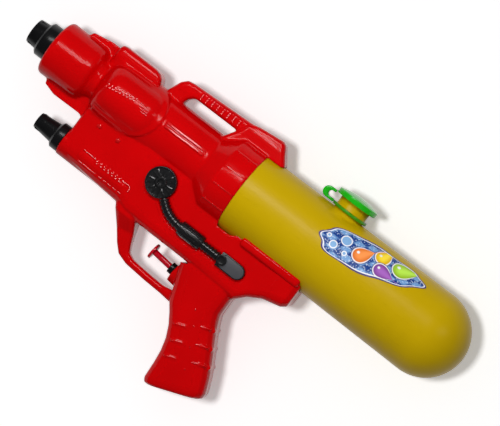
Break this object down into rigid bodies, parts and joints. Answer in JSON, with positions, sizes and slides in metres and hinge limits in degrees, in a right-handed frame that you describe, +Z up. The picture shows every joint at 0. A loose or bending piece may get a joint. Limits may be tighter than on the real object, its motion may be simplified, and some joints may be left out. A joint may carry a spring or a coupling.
{
  "type": "toy water squirter",
  "caption": "Toy water squirter lying on its side, with a rear water tank, a tethered filler stopper, a carry handle, stacked nozzles and a sprung trigger pump.",
  "frame": {"origin": "middle of the part's box in plan, on the surface that it lies on", "axes": "+X runs rearward along the bore to the tank's dome, +Y toward the carry handle and +Z up, out of the side that carries the dial"},
  "size_m": [0.402, 0.2055, 0.0676],
  "materials": {
    "red_shell": "gloss",
    "tank_yellow": "satin",
    "stopper_green": "satin",
    "black_trim": "satin",
    "black_rubber": "matte",
    "clear_plastic": "gloss",
    "clear_hose": "gloss",
    "steel": "satin"
  },
  "bodies": {
    "body": {"left_casing": "red_shell", "right_casing": "red_shell", "casing_screws": "steel", "tank": "tank_yellow", "cap_ring": "stopper_green", "cap_strap": "stopper_green", "upper_nozzle": "black_trim", "lower_nozzle": "black_trim", "side_dial": "black_trim", "hose_trim": "black_trim", "trigger_bush": "black_trim", "pump_cylinder": "clear_plastic", "return_spring": "steel", "inlet_valve": "clear_plastic", "outlet_valve": "clear_plastic", "feed_hose": "clear_hose", "tank_bung": "black_trim", "dip_tube": "clear_hose", "delivery_hose": "clear_hose", "hose_tee": "clear_plastic", "upper_hose": "clear_hose", "lower_hose": "clear_hose"},
    "trigger": {"trigger": "red_shell", "piston_seal": "black_rubber"},
    "stopper": {"fill_cap": "stopper_green"},
    "inlet_ball": {"inlet_ball": "steel"},
    "outlet_ball": {"outlet_ball": "steel"}
  },
  "joints": [
    {"name": "trigger_pull", "type": "slide", "parent": "body", "child": "trigger", "axis": [0.9954, -0.0958, 0], "range_m": [0, 0.013], "stiffness_N_per_m": 300, "springref_m": -0.008, "deforming": ["return_spring"]},
    {"name": "stopper_lift", "type": "slide", "parent": "body", "child": "stopper", "axis": [0, 1, 0], "range_m": [0, 0.014], "deforming": ["cap_strap"]},
    {"name": "inlet_ball_drop", "type": "slide", "parent": "body", "child": "inlet_ball", "axis": [-0.0958, -0.9954, 0], "range_m": [0, 0.0015]},
    {"name": "outlet_ball_lift", "type": "slide", "parent": "body", "child": "outlet_ball", "axis": [0.0958, 0.9954, 0], "range_m": [0, 0.0015]}
  ]
}
